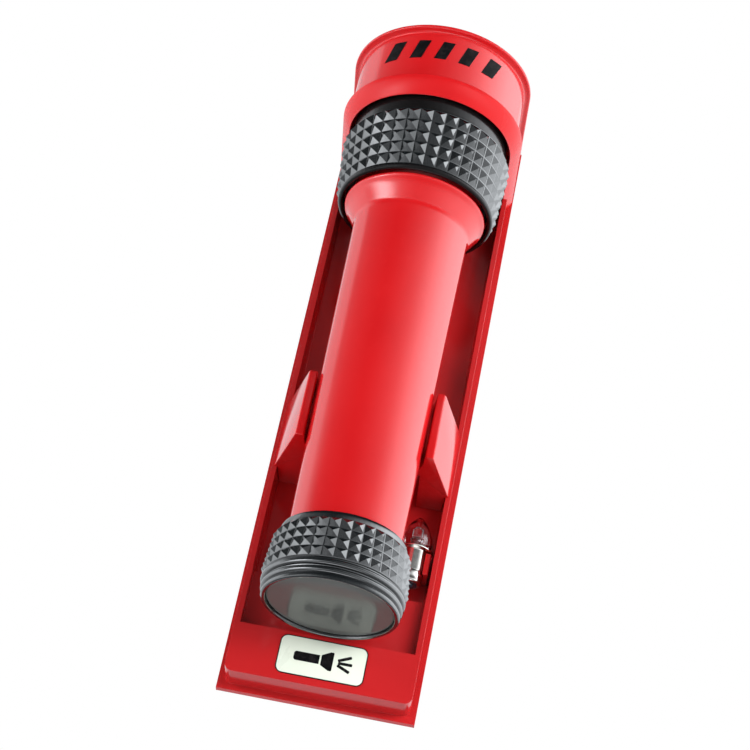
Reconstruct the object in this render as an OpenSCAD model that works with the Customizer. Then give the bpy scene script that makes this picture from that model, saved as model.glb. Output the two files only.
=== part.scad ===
// Emergency torch in its moulded wall bracket.
// Frame: +Z up along the torch from tail to head, wall face at y = 0,
// -Y towards the person in front of it, origin midway between the two wall screw holes.

/* [Bracket] */
// Half width of the back plate and of the hood roof
plate_hw = 35.2; // [34.6:0.1:37]
// Thickness of the back plate
plate_t = 2.6; // [2:0.1:3]
// Depth of the tray rim in front of the wall
rim_y = 14.2; // [13:0.1:14.4]
// Bottom edge of the back plate, measured from the torch's tail
plate_z0 = -20.6; // [-24:0.1:-19.5]
// Top edge of the label pad
pad_z1 = 0.3; // [-1:0.1:0.5]
// Top of the shelf behind the tail cap
shelf_z1 = 22; // [18:0.5:26]
// Depth of the shelf in front of the wall
shelf_y = 10; // [6:0.5:11]
// Bottom edge of the hood collar
hood_z0 = 198.2; // [197:0.1:200]
// Top of the hood roof
hood_z1 = 229.6; // [226:0.1:236]
// Outer half width of the hood wall
hood_r = 32.4; // [32:0.1:33]
// Outer half width of the hood collar
collar_r = 34.95; // [34:0.05:35.2]
// Outer half width of the rim round the hood's roof
rim_r = 34.75; // [34:0.05:35.2]
// Inner radius of the hood
hood_ri = 30.9; // [30.6:0.1:31]

/* [Clip arms] */
// Bottom of the clip arms
arm_z0 = 63; // [60:0.5:70]
// Length of the clip arms along the torch
arm_len = 26.6; // [20:0.1:30]
// Inner radius of the arms around the barrel
arm_ri = 21.6; // [21.2:0.1:22]

/* [Wall screws] */
// Distance between the two screw holes
screw_pitch = 100; // [80:1:110]
// Radius of each screw hole
screw_r = 2.3; // [2:0.1:2.6]

/* [Torch] */
// Distance of the torch axis from the wall
axis_y = 39; // [38.8:0.1:40]
// Barrel radius at the tail cap
barrel_r0 = 20; // [19.8:0.1:20]
// Barrel radius at the foot of the flare
barrel_r1 = 21.6; // [20.6:0.1:22]
// Radius of the flare's lip
flare_r = 26.7; // [26:0.1:27]
// Bore radius of the barrel
bore_r = 17.6; // [17.4:0.1:17.8]

/* [Knurled parts] */
// Columns of pyramids around the head ring
head_cols = 40; // [30:1:48]
// Columns of pyramids around the tail cap
tail_cols = 36; // [28:1:40]
// Height of the head ring's pyramids
head_d = 1.8; // [1:0.1:2]
// Height of the tail cap's pyramids
tail_d = 1.5; // [1:0.1:1.8]

/* [Cells] */
// Radius of a D cell
cell_r = 17.1; // [16.6:0.1:17.1]
// Length of a D cell over its nub
cell_len = 61.5; // [60:0.1:61.5]

/* [Hidden] */
$fn = 96;
z_mid = 90;
cell_z0 = 13;
cell_z1 = cell_z0 + cell_len;
bulb_x = 23.7;
bulb_y = -9.6;
bulb_z = 29;
sw_z = 120;

RED = [0.78, 0.07, 0.08];
BLACK = [0.07, 0.08, 0.08];
BRASS = [0.80, 0.64, 0.30];
STEEL = [0.72, 0.73, 0.74];

// ---------- helpers ----------
module at_wall() translate([0, 0, -z_mid]) children();
module at_axis() translate([0, -axis_y, -z_mid]) children();

// rounded rectangle made of exact arcs, centred
module rrect(w, h, r) {
  square([w - 2 * r, h], center = true);
  square([w, h - 2 * r], center = true);
  for (sx = [-1, 1], sz = [-1, 1]) translate([sx * (w / 2 - r), sz * (h / 2 - r)]) circle(r);
}

// a profile in (radius, z) swept round the front of the torch axis and straight back to the plate
module u_sweep() {
  translate([0, -axis_y, 0]) rotate([0, 0, 180]) rotate_extrude(angle = 180) children();
  for (m = [0, 1]) mirror([m, 0, 0])
    translate([0, -plate_t, 0]) rotate([90, 0, 0]) linear_extrude(height = axis_y - plate_t) children();
}

// ---------- bracket ----------
module tray_wall_profile()
  polygon([[33.1, -plate_t], [32.8, -rim_y + 1.6], [32.6, -rim_y + 0.8], [32.2, -rim_y + 0.2], [31.7, -rim_y],
           [31.2, -rim_y + 0.2], [30.9, -rim_y + 0.8], [30.3, -plate_t]]);

// side view of label pad and shelf as (y, z)
module pad_profile()
  polygon([[-plate_t, plate_z0 + 2.4], [-rim_y + 1.8, plate_z0 + 2.4], [-rim_y + 0.9, plate_z0 + 2.7],
           [-rim_y + 0.3, plate_z0 + 3.3], [-rim_y, plate_z0 + 4.2], [-rim_y, pad_z1 - 0.6], [-rim_y + 0.6, pad_z1],
           [-shelf_y, pad_z1 + 0.1], [-shelf_y, shelf_z1 - 0.6], [-shelf_y + 0.6, shelf_z1], [-plate_t, shelf_z1 + 0.2]]);

module pad_core_profile()
  polygon([[0.5, plate_z0 + 4.8], [-rim_y + 2.4, plate_z0 + 4.8], [-rim_y + 2.4, pad_z1 - 2.4],
           [-shelf_y + 2.2, pad_z1 - 2.4], [-shelf_y + 2.2, shelf_z1 - 2.2], [0.5, shelf_z1 - 2.2]]);

// (y, z) profile spanning x0..x1
module along_x(x0, x1)
  translate([x0, 0, 0]) rotate([90, 0, 90]) linear_extrude(height = x1 - x0) children();

module back_tray() {
  color(RED) at_wall() difference() {
    union() {
      // plate with its overhanging flange
      translate([-plate_hw, -plate_t, plate_z0]) cube([2 * plate_hw, plate_t, hood_z1 - plate_z0]);
      for (m = [0, 1]) mirror([m, 0, 0])
        translate([0, 0, plate_z0 + 2.4]) linear_extrude(height = hood_z0 - plate_z0 - 2.4) tray_wall_profile();
      along_x(-31, 31) pad_profile();
      // raised rings round the screw holes
      for (s = [-1, 1]) translate([0, -plate_t + 0.01, z_mid + s * screw_pitch / 2]) rotate([90, 0, 0]) cylinder(r = 6, h = 1.4);
    }
    along_x(-28, 28) pad_core_profile();
    for (s = [-1, 1]) translate([0, 1, z_mid + s * screw_pitch / 2]) rotate([90, 0, 0]) cylinder(r = screw_r, h = 8);
    // shallow seat for the label
    translate([0, -rim_y + 0.25, (plate_z0 + 3.2 + pad_z1) / 2 + 0.3]) rotate([90, 0, 0])
      linear_extrude(height = 2) rrect(31.4, 15, 2.9);
  }
}

module hood_profile()
  polygon([[hood_ri, hood_z0 + 0.7], [hood_ri + 0.15, hood_z0 + 0.25], [hood_ri + 0.55, hood_z0 + 0.1],
           [collar_r - 2.9, hood_z0 + 1.0], [collar_r - 1.85, hood_z0 + 2.7], [collar_r - 0.95, hood_z0 + 4.5],
           [collar_r - 0.3, hood_z0 + 6.0], [collar_r - 0.05, hood_z0 + 6.8], [collar_r, hood_z0 + 7.05],
           [collar_r - 0.12, hood_z0 + 7.3], [collar_r - 0.4, hood_z0 + 7.35], [hood_r + 0.5, hood_z0 + 7.35],
           [hood_r + 0.15, hood_z0 + 7.5], [hood_r, hood_z0 + 7.85], [hood_r - 0.05, hood_z1 - 2.8],
           [hood_r + 0.1, hood_z1 - 2.3], [hood_r + 0.5, hood_z1 - 1.9], [hood_r + 1.2, hood_z1 - 1.55],
           [rim_r - 0.4, hood_z1 - 1.2], [rim_r - 0.1, hood_z1 - 1.0], [rim_r, hood_z1 - 0.6],
           [rim_r - 0.1, hood_z1 - 0.15], [rim_r - 0.4, hood_z1], [hood_ri, hood_z1]]);

module hood() {
  color(RED) at_wall() {
    u_sweep() hood_profile();
    // roof
    translate([0, 0, hood_z1 - 2.2]) linear_extrude(height = 2.2) {
      translate([0, -axis_y]) intersection() {
        circle(hood_ri);
        translate([-40, -40]) square([80, 40]);
      }
      translate([-hood_ri, -axis_y]) square([2 * hood_ri, axis_y - plate_t]);
    }
  }
}

function arc_pt(r, a) = [r * cos(a), -axis_y + r * sin(a)];

module arm_profile()
  polygon(concat([[30.3, -plate_t], [20.7, -plate_t], [20.7, -axis_y + 12.5]],
    [for (a = [30 : -4 : -2]) arc_pt(arm_ri, a)],
    [[21.9, -40.5], [22.5, -41.0], [23.3, -41.2], [24.1, -41.1], [24.7, -40.7], [25.05, -40.1],
     [32.4, -rim_y], [31.7, -rim_y], [31.2, -rim_y + 0.2], [30.9, -rim_y + 0.8]]));

module clip_arm_right() {
  color(RED) at_wall() translate([0, 0, arm_z0]) linear_extrude(height = arm_len) arm_profile();
}

module clip_arm_left() {
  color(RED) mirror([1, 0, 0]) at_wall() translate([0, 0, arm_z0]) linear_extrude(height = arm_len) arm_profile();
}

module label() {
  color([0.93, 0.93, 0.86]) at_wall()
    translate([0, -rim_y + 0.25, (plate_z0 + 3.2 + pad_z1) / 2 + 0.3]) rotate([90, 0, 0])
      linear_extrude(height = 0.5) rrect(31, 14.6, 2.7);
}

// five slanted bars printed on the hood
module hood_mark() {
  color(BLACK) at_wall() intersection() {
    translate([0, -axis_y, 210]) difference() {
      cylinder(r = hood_r + 0.12, h = 20);
      translate([0, 0, -1]) cylinder(r = hood_r, h = 22);
    }
    for (i = [-2 : 2]) rotate([0, 0, 0]) translate([i * 9.2 - 0.2, -axis_y, 0])
      rotate([90, 0, 0]) linear_extrude(height = 40)
        polygon([[-3.2, 215.2], [1.2, 215.2], [3.8, 223.6], [-0.6, 223.6]]);
  }
}

module bulb_clip() {
  color(RED) at_wall() translate([bulb_x, 0, 32.2]) linear_extrude(height = 8.4) difference() {
    translate([-6.4, -12.4]) square([12.8, 12.4 - plate_t]);
    translate([0, bulb_y]) circle(4.7);
    translate([-4.2, -14]) square([8.4, 5]);
  }
}

module switch_boss() {
  color(RED) at_wall() translate([0, -plate_t, sw_z]) rotate([90, 0, 0]) {
    difference() {
      cylinder(r = 5, h = axis_y - 22.9 - plate_t);
      translate([0, 0, 2]) cylinder(r = 2.6, h = 9);
    }
    for (a = [0 : 90 : 270]) rotate([0, 0, a]) translate([4.8, -0.8, 0]) cube([3.6, 1.6, 9]);
  }
}

// ---------- bulb, base down at z = 0 ----------
module bulb_glass() rotate_extrude()
  polygon([[0, 15.0], [5.3, 15.0], [5.8, 15.4], [6.0, 16.6], [5.9, 17.8], [5.65, 19], [5.3, 20.2], [4.85, 21.4], [4.3, 22.6],
           [3.65, 23.8], [2.9, 25.0], [2.1, 26.1], [1.3, 27.0], [0.6, 27.5], [0, 27.6]]);
module bulb_base() rotate_extrude()
  polygon([[2.3, 0.6], [3.9, 0.6], [4.6, 1.3], [4.6, 13.4], [6.65, 13.4], [6.75, 13.8], [6.65, 14.2],
           [5.6, 14.2], [5.3, 15.0], [2.3, 15.0]]);
module bulb_tip() rotate_extrude()
  polygon([[0, -0.6], [1.3, -0.5], [1.8, -0.1], [2.0, 0.4], [3.2, 0.5], [3.2, 0.6], [2.3, 0.6], [2.3, 3.2], [0, 3.2]]);
module bulb_wires() {
  for (s = [-1, 1]) translate([s * 1.5, 0, 3.2]) cylinder(r = 0.3, h = 8.2);
  for (s = [-1, 1]) translate([s * 1.5, 0, 11.4]) cylinder(r = 0.3, h = 3.6);
}

module spare_place() at_wall() translate([bulb_x, bulb_y, bulb_z - 1.3]) children();
module spare_glass() { color([0.85, 0.9, 0.92, 0.4]) spare_place() bulb_glass(); }
module spare_base() { color(STEEL) spare_place() bulb_base(); }
module spare_insulator() { color(BLACK) spare_place() bulb_tip(); }
module spare_filament() { color(STEEL) spare_place() bulb_wires(); }

lamp_z = 140.6;
module lamp_place() at_axis() translate([0, 0, lamp_z]) children();
module lamp_glass() { color([0.85, 0.9, 0.92, 0.4]) lamp_place() bulb_glass(); }
module lamp_base() { color(STEEL) lamp_place() bulb_base(); }
module lamp_insulator() { color(BLACK) lamp_place() bulb_tip(); }
module lamp_filament() { color(STEEL) lamp_place() bulb_wires(); }

// ---------- torch ----------
module barrel() {
  color(RED) at_axis() difference() {
    rotate_extrude()
      polygon([[bore_r, 8], [19.4, 8], [19.7, 8.4], [19.7, 10], [19.2, 10.5], [19.2, 11.1], [19.7, 11.6],
               [19.7, 13], [19.2, 13.5], [19.2, 14.1], [19.7, 14.6], [19.7, 16], [18.7, 16.1], [18.7, 18.2], [19.7, 18.3],
               [barrel_r0, 19.5], [barrel_r0, 28], [barrel_r1, 157],
               [22.3, 157.6], [25.3, 162.9], [26.2, 163.9], [flare_r - 0.1, 164.6], [flare_r, 165.1],
               [flare_r - 0.25, 165.55], [25.9, 165.7], [25.2, 165.9],
               [25.2, 170], [24.7, 170.1], [24.7, 172.1], [25.2, 172.2], [25.2, 177.4], [24.8, 177.8],
               [23.2, 177.8], [23.2, 166], [19.6, 157], [17.6, 152]]);
    // slot for the contact strip, at the back
    translate([-3.3, 0, 7]) cube([6.6, 18.5, 143]);
    // stepped hole for the plunger
    translate([0, 0, sw_z]) rotate([-90, 0, 0]) {
      translate([0, 0, 12]) cylinder(r = 3.05, h = 12);
      translate([0, 0, 12]) cylinder(r = 4.4, h = 8.4);
    }
  }
}

module contact_strip() {
  color(BRASS) at_axis() difference() {
    union() {
      translate([-3, 17.75, 9]) cube([6, 0.45, 139]);
      translate([-3, 12.4, 147.6]) cube([6, 5.8, 0.4]);
    }
    translate([0, 17, sw_z]) rotate([-90, 0, 0]) cylinder(r = 1.2, h = 2);
  }
}

module ring_seal(r, t, z) translate([0, 0, z]) rotate_extrude() translate([r, 0]) circle(t, $fn = 32);

module tail_oring() { color(BLACK) at_axis() ring_seal(19.62, 0.85, 17.15); }
module head_oring() { color(BLACK) at_axis() ring_seal(25.6, 0.85, 171.1); }

module cell_jacket(z) translate([0, 0, z]) rotate_extrude()
  polygon([[0, 0.9], [15.4, 0.9], [15.4, 0.25], [16.6, 0.1], [17.0, 0.4], [cell_r, 0.9], [cell_r, 58.6], [17.0, 59.1],
           [16.5, 59.4], [15.6, 59.3], [15.4, 58.7], [0, 58.7]]);
module cell_ends(z) translate([0, 0, z]) {
  rotate_extrude() polygon([[0, 0], [14.6, 0], [15.1, 0.3], [15.3, 0.9], [0, 0.9]]);
  rotate_extrude() polygon([[0, 58.7], [15.3, 58.7], [15.1, 59.3], [14.4, 59.7], [5.4, 59.9], [4.9, 60.2], [4.75, 61.2],
                            [4.3, cell_len], [0, cell_len]]);
}
module cell_rear() { color([0.16, 0.17, 0.2]) at_axis() cell_jacket(cell_z0); }
module cell_rear_terminals() { color(STEEL) at_axis() cell_ends(cell_z0); }
module cell_front() { color([0.16, 0.17, 0.2]) at_axis() cell_jacket(cell_z1); }
module cell_front_terminals() { color(STEEL) at_axis() cell_ends(cell_z1); }

module lamp_holder() {
  color(BLACK) at_axis() difference() {
    union() {
      translate([0, 0, 137.4]) cylinder(r = 17.4, h = 3);
      translate([0, 0, 140.4]) cylinder(r = 11, h = 13.6);
      for (a = [45 : 90 : 315]) rotate([0, 0, a]) translate([9, -0.8, 140.4]) cube([8.3, 1.6, 8]);
    }
    translate([0, 0, 140.4]) cylinder(r = 4.8, h = 16);
    translate([0, 0, 137]) cylinder(r = 2.5, h = 6);
  }
}
module centre_contact() {
  color(BRASS) at_axis() rotate_extrude()
    polygon([[0, 136.0], [4.2, 136.0], [4.4, 136.4], [4.4, 137.4], [2.4, 137.4], [2.4, 139.6], [1.6, 140.0], [0, 140.0]]);
}

module switch_plunger() {
  color(BLACK) at_axis() translate([0, 0, sw_z]) rotate([-90, 0, 0]) {
    translate([0, 0, 18.8]) cylinder(r = 4.1, h = 0.6);
    translate([0, 0, 18.8]) cylinder(r = 3, h = 3.0);
    translate([0, 0, 21.8]) cylinder(r1 = 3, r2 = 2.2, h = 0.7);
  }
}

// ---------- tail ----------
tail_ra0 = 25.75;
tail_slope = 0.1;
tail_z0 = 7.7;
tail_pitch = 3.83;
function tail_ra(z) = tail_ra0 - tail_slope * (z - tail_z0);

module tail_cap() {
  color(BLACK) at_axis() difference() {
    rotate_extrude() polygon(concat(
      [[22.35, 0.35], [22.6, 0.05], [23.2, 0], [23.8, 0.2], [24.15, 0.7], [24.15, 1.2], [23.65, 1.8],
       [24.2, 2.1], [24.6, 2.6], [24.65, 3.2], [24.45, 3.9], [23.95, 4.4],
       [24.6, 4.8], [25.05, 5.3], [25.15, 5.9], [24.95, 6.5], [24.4, 7.0], [24.15, 7.3]],
      [for (k = [0 : 3]) each [[tail_ra(tail_z0 + k * tail_pitch) - tail_d, tail_z0 + k * tail_pitch],
                               [tail_ra(tail_z0 + (k + 0.5) * tail_pitch), tail_z0 + (k + 0.5) * tail_pitch]]],
      [[tail_ra(tail_z0 + 4 * tail_pitch) - tail_d, tail_z0 + 4 * tail_pitch],
       [22.65, 23.6], [22.5, 24.6], [22.3, 25.4], [22.05, 25.8], [21.6, 26],
       [20.07, 26], [20.07, 22.3], [20.6, 21.7], [20.6, 4.6], [0, 4.6], [0, 2.4], [22.35, 2.4]]));
    for (i = [0 : tail_cols - 1]) rotate([0, 0, 360 / tail_cols * i - 2.1])
      translate([tail_ra(tail_z0) - tail_d, 0, tail_z0 - 0.02]) rotate([0, -atan(tail_slope), 0])
        linear_extrude(height = 4 * tail_pitch + 0.2)
          polygon([[0, 0], [tail_d * 1.5, 1.5 * PI * 24.7 / tail_cols], [tail_d * 1.5, -1.5 * PI * 24.7 / tail_cols]]);
  }
}

module tail_disc() {
  color([0.3, 0.31, 0.3]) at_axis() rotate_extrude()
    polygon([[0, 0.9], [21.9, 0.9], [22.25, 1.2], [22.25, 2.4], [0, 2.4]]);
}

module tail_plate() {
  color(STEEL) at_axis() translate([0, 0, 4.9]) cylinder(r = 15, h = 0.5);
}

// conical contact spring
module tail_spring() {
  turns = 3.5;
  n = 42;
  wr = 0.6;
  m = 6;
  pts = [for (i = [0 : n]) let (a = 360 * turns * i / n, r = 12.5 - 7 * i / n, z = 6.05 + 6.25 * i / n)
           for (j = [0 : m - 1]) let (b = 360 * j / m) [(r + wr * cos(b)) * cos(a), (r + wr * cos(b)) * sin(a), z + wr * sin(b)]];
  faces = concat([[for (j = [0 : m - 1]) j]], [[for (j = [0 : m - 1]) n * m + m - 1 - j]],
    [for (i = [0 : n - 1], j = [0 : m - 1]) [i * m + j, (i + 1) * m + j, (i + 1) * m + (j + 1) % m, i * m + (j + 1) % m]]);
  color(STEEL) at_axis() polyhedron(points = pts, faces = faces, convexity = 8);
}

// ---------- head ----------
head_z0 = 167.8;
head_pitch = 4.83;
head_ra0 = 30.6;
head_slope = 0.078;
function head_ra(z) = head_ra0 + head_slope * (z - head_z0);

module head_ring() {
  color(BLACK) at_axis() difference() {
    rotate_extrude() polygon(concat(
      [[27.6, 166.4], [27.75, 165.9], [28.3, 165.6], [29.0, 165.75], [29.45, 166.2], [29.6, 166.8], [29.4, 167.4]],
      [for (k = [0 : 4]) each [[head_ra(head_z0 + k * head_pitch) - head_d, head_z0 + k * head_pitch],
                               [head_ra(head_z0 + (k + 0.5) * head_pitch), head_z0 + (k + 0.5) * head_pitch]]],
      [[head_ra(head_z0 + 5 * head_pitch) - head_d, head_z0 + 5 * head_pitch],
       [30.4, 192.15], [30.0, 192.4], [29.8, 192.9], [29.7, 193.8], [29.7, 201.6], [29.3, 203.2], [28.6, 203.9], [27.8, 204.0],
       [26.9, 203.7], [26.0, 201.6], [26.0, 200.7], [28.5, 200.7], [28.5, 178.4],
       [25.28, 178.2], [25.28, 172.7], [26.6, 172.4], [26.6, 169.4], [27.6, 169.2]]));
    for (i = [0 : head_cols - 1]) rotate([0, 0, 360 / head_cols * i + 1.75])
      translate([head_ra(head_z0) - head_d, 0, head_z0 - 0.02]) rotate([0, atan(head_slope), 0])
        linear_extrude(height = 5 * head_pitch + 0.2)
          polygon([[0, 0], [head_d * 1.5, 1.5 * PI * 31.6 / head_cols], [head_d * 1.5, -1.5 * PI * 31.6 / head_cols]]);
  }
}

module reflector() {
  color([0.9, 0.9, 0.92]) at_axis() rotate_extrude()
    polygon(concat([[6.6, 156.2], [8.2, 156.2], [8.2, 160]],
      [for (t = [0 : 9]) let (r = 9.4 + 17.4 * t / 9) [r, 160.2 + (r * r - 85) / 17.4 * 0.935]],
      [[28.1, 194.9], [28.1, 196.4], [26.2, 196.4]],
      [for (t = [9 : -1 : 0]) let (r = 6.6 + 18.8 * t / 9) [r, 158.6 + (r * r - 43.56) / 16.4]]));
}
module lens() { color([0.85, 0.9, 0.93, 0.35]) at_axis() translate([0, 0, 198.2]) cylinder(r = 28.2, h = 2.2); }
module lens_gasket() {
  color(BLACK) at_axis() rotate_extrude()
    polygon([[26.4, 196.4], [28.1, 196.4], [28.1, 198.2], [26.4, 198.2]]);
}

// ---------- draw ----------
back_tray();
hood();
clip_arm_left();
clip_arm_right();
label();
hood_mark();
bulb_clip();
switch_boss();
spare_glass();
spare_base();
spare_insulator();
spare_filament();
barrel();
contact_strip();
tail_oring();
head_oring();
cell_rear();
cell_rear_terminals();
cell_front();
cell_front_terminals();
lamp_holder();
centre_contact();
lamp_glass();
lamp_base();
lamp_insulator();
lamp_filament();
switch_plunger();
tail_spring();
tail_plate();
tail_cap();
tail_disc();
reflector();
lens();
lens_gasket();
head_ring();
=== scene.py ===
import bpy
import bmesh
import math
from mathutils import Matrix, Vector


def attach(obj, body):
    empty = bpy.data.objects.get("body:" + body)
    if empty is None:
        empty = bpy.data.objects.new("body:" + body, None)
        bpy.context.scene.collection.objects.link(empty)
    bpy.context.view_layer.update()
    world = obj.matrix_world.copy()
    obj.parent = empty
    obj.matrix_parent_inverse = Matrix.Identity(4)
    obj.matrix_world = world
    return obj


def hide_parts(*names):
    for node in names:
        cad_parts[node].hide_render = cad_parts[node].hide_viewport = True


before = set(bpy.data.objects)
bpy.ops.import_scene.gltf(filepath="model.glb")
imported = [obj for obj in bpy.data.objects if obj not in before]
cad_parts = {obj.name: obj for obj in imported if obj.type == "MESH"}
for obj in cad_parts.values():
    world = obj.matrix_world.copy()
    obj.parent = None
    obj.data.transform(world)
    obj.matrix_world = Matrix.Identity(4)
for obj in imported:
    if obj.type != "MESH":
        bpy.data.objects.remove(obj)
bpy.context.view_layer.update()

MM = 0.001
ZM = 90.0      # height of the screw pattern's centre above the torch's tail
AX = 39.0      # distance of the torch's axis from the wall
PLATE = 2.6
RIM = 14.2


def P(x, y, z):
    return (x * MM, y * MM, (z - ZM) * MM)


# ------------------------------------------------------------------ mesh helpers
def finish_mesh(name, bm, body, angle=32.0, smooth=True):
    bmesh.ops.recalc_face_normals(bm, faces=bm.faces)
    me = bpy.data.meshes.new(name)
    bm.to_mesh(me)
    bm.free()
    o = bpy.data.objects.new(name, me)
    bpy.context.scene.collection.objects.link(o)
    if smooth:
        shade(o, angle)
    if body:
        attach(o, body)
    return o


def shade(o, angle):
    me = o.data
    bm = bmesh.new()
    bm.from_mesh(me)
    lim = math.radians(angle)
    for f in bm.faces:
        f.smooth = True
    for e in bm.edges:
        e.smooth = len(e.link_faces) == 2 and e.calc_face_angle(0.0) < lim
    bm.to_mesh(me)
    bm.free()


def fillet(points, radii, seg=5):
    """Rounds the corners of a closed or open polyline of (x, y, radius)."""
    out = []
    n = len(points)
    for i in range(n):
        r = radii[i]
        p = Vector(points[i])
        a = Vector(points[i - 1])
        b = Vector(points[(i + 1) % n])
        if r <= 0:
            out.append((p.x, p.y))
            continue
        u = (a - p)
        v = (b - p)
        lu, lv = u.length, v.length
        u.normalize()
        v.normalize()
        c = max(-1.0, min(1.0, u.dot(v)))
        half = math.acos(c) / 2
        t = min(r / math.tan(half), lu * 0.49, lv * 0.49)
        rr = t * math.tan(half)
        m = (u + v).normalized()
        cen = p + m * (rr / math.sin(half))
        s = p + u * t
        e = p + v * t
        a0 = math.atan2(s.y - cen.y, s.x - cen.x)
        a1 = math.atan2(e.y - cen.y, e.x - cen.x)
        d = (a1 - a0 + math.pi) % (2 * math.pi) - math.pi
        for k in range(seg + 1):
            w = a0 + d * k / seg
            out.append((cen.x + rr * math.cos(w), cen.y + rr * math.sin(w)))
    return out


def spline(points, seg=5):
    """Smooth open curve through the points."""
    q = [Vector(p) for p in points]
    q = [q[0] * 2 - q[1]] + q + [q[-1] * 2 - q[-2]]
    out = []
    for i in range(1, len(q) - 2):
        for k in range(seg):
            t = k / seg
            v = 0.5 * (2 * q[i] + (q[i + 1] - q[i - 1]) * t + (2 * q[i - 1] - 5 * q[i] + 4 * q[i + 1] - q[i + 2]) * t * t
                       + (3 * q[i] - q[i - 1] - 3 * q[i + 1] + q[i + 2]) * t ** 3)
            out.append((v.x, v.y))
    out.append((q[-2].x, q[-2].y))
    return out


def revolve(name, prof, n, body, closed=True, yc=-AX, xc=0.0, angle=32.0):
    """Closed solid of revolution about the vertical line at (xc, yc). prof is (r, z) in mm."""
    bm = bmesh.new()
    rings = []
    for r, z in prof:
        if r < 1e-6:
            rings.append([bm.verts.new(P(xc, yc, z))])
        else:
            rings.append([bm.verts.new(P(xc + r * math.sin(2 * math.pi * i / n), yc - r * math.cos(2 * math.pi * i / n), z)) for i in range(n)])
    pairs = list(zip(rings, rings[1:]))
    if closed:
        pairs.append((rings[-1], rings[0]))
    for a, b in pairs:
        if len(a) == 1 and len(b) == 1:
            continue
        for i in range(n):
            j = (i + 1) % n
            if len(a) == 1:
                bm.faces.new((a[0], b[i], b[j]))
            elif len(b) == 1:
                bm.faces.new((a[i], b[0], a[j]))
            else:
                bm.faces.new((a[i], b[i], b[j], a[j]))
    return finish_mesh(name, bm, body, angle)


KN = [0.0, 0.03, 0.475, 0.525, 0.97]
KM = 2.5       # index of the middle of one pyramid in KN


def pyramid(u, v):
    """Height of a four-sided pyramid with a small flat on top and a narrow flat valley round it."""
    a = 1 - abs(2 * u - 1)
    b = 1 - abs(2 * v - 1)
    return max(0.0, (min(a, b) - 0.06) / 0.89)


def knurled(name, lower, rows, cols, z0, pitch, ra, depth, upper, body, angle=18.0, turn=0.0):
    """A revolved part whose outer face carries a grid of pyramids between the lower and upper profiles.
    lower and upper are (r, z) points before and after the knurl; together they close the section."""
    us = [(c + k) / cols for c in range(cols) for k in KN]
    n = len(us)
    vs = [(r + k) for r in range(rows) for k in KN] + [rows]
    ang = [2 * math.pi * u + math.radians(turn) for u in us]
    bm = bmesh.new()

    def ring(rz):
        r, z = rz
        if r < 1e-6:
            return [bm.verts.new(P(0, -AX, z))]
        return [bm.verts.new(P(r * math.sin(t), -AX - r * math.cos(t), z)) for t in ang]

    knurl = []
    for v in vs:
        z = z0 + v * pitch
        base = ra(z) - depth
        fv = v - math.floor(v) if v < rows else 0.0
        row = []
        for i, t in enumerate(ang):
            fu = (us[i] * cols) % 1.0
            r = base + depth * pyramid(fu, fv)
            row.append(bm.verts.new(P(r * math.sin(t), -AX - r * math.cos(t), z)))
        knurl.append(row)
    low = [ring(p) for p in lower]
    up = [ring(p) for p in upper]
    rings = low + knurl + up

    def quad(a, b, c, d):
        bm.faces.new((a, b, c, d))

    m = len(rings)
    for k in range(m):
        a, b = rings[k], rings[(k + 1) % m]
        if len(a) == 1 and len(b) == 1:
            continue
        inside = len(low) <= k < len(low) + len(knurl) - 1
        for i in range(n):
            j = (i + 1) % n
            if len(a) == 1:
                bm.faces.new((a[0], b[i], b[j]))
                continue
            if len(b) == 1:
                bm.faces.new((a[i], b[0], a[j]))
                continue
            if inside:
                cu = (i % len(KN)) < KM
                cv = ((k - len(low)) % len(KN)) < KM
                if cu == cv:
                    bm.faces.new((a[i], b[i], b[j]))
                    bm.faces.new((a[i], b[j], a[j]))
                else:
                    bm.faces.new((a[i], b[i], a[j]))
                    bm.faces.new((b[i], b[j], a[j]))
            else:
                quad(a[i], b[i], b[j], a[j])
    return finish_mesh(name, bm, body, angle)


def prism(name, pts, axis, lo, hi, body=None, bevel=0.0, seg=3, angle=40.0):
    """A polygon extruded along an axis. axis 'z': pts are (x, y); axis 'y': pts are (x, z); axis 'x': pts are (y, z)."""
    bm = bmesh.new()

    def q(p, h):
        if axis == "z":
            return P(p[0], p[1], h)
        if axis == "y":
            return P(p[0], h, p[1])
        return P(h, p[0], p[1])

    a = [bm.verts.new(q(p, lo)) for p in pts]
    b = [bm.verts.new(q(p, hi)) for p in pts]
    n = len(pts)
    bm.faces.new(a)
    bm.faces.new(list(reversed(b)))
    for i in range(n):
        j = (i + 1) % n
        bm.faces.new((a[i], b[i], b[j], a[j]))
    o = finish_mesh(name, bm, body, 32.0, smooth=False)
    if bevel > 0:
        add_bevel(o, bevel, seg, angle)
        shade(o, 32.0)
    elif body:
        shade(o, 32.0)
    return o


def apply_all(o):
    dg = bpy.context.evaluated_depsgraph_get()
    ev = o.evaluated_get(dg)
    me = bpy.data.meshes.new_from_object(ev)
    old = o.data
    o.modifiers.clear()
    o.data = me
    bpy.data.meshes.remove(old)


def add_bevel(o, width, seg=3, angle=40.0, apply=True):
    m = o.modifiers.new("bevel", "BEVEL")
    m.width = width * MM
    m.segments = seg
    m.limit_method = "ANGLE"
    m.angle_limit = math.radians(angle)
    m.use_clamp_overlap = True
    m.miter_outer = "MITER_ARC"
    m.harden_normals = False
    if apply:
        apply_all(o)


def weigh(o):
    """Lets large flat faces keep their own normals beside rounded edges."""
    m = o.modifiers.new("weigh", "WEIGHTED_NORMAL")
    m.mode = "FACE_AREA"
    m.weight = 60
    m.keep_sharp = True
    apply_all(o)


def boolean(o, cutter, op="DIFFERENCE"):
    m = o.modifiers.new("cut", "BOOLEAN")
    m.object = cutter
    m.operation = op
    m.solver = "EXACT"
    apply_all(o)
    bpy.data.objects.remove(cutter, do_unlink=True)


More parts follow.
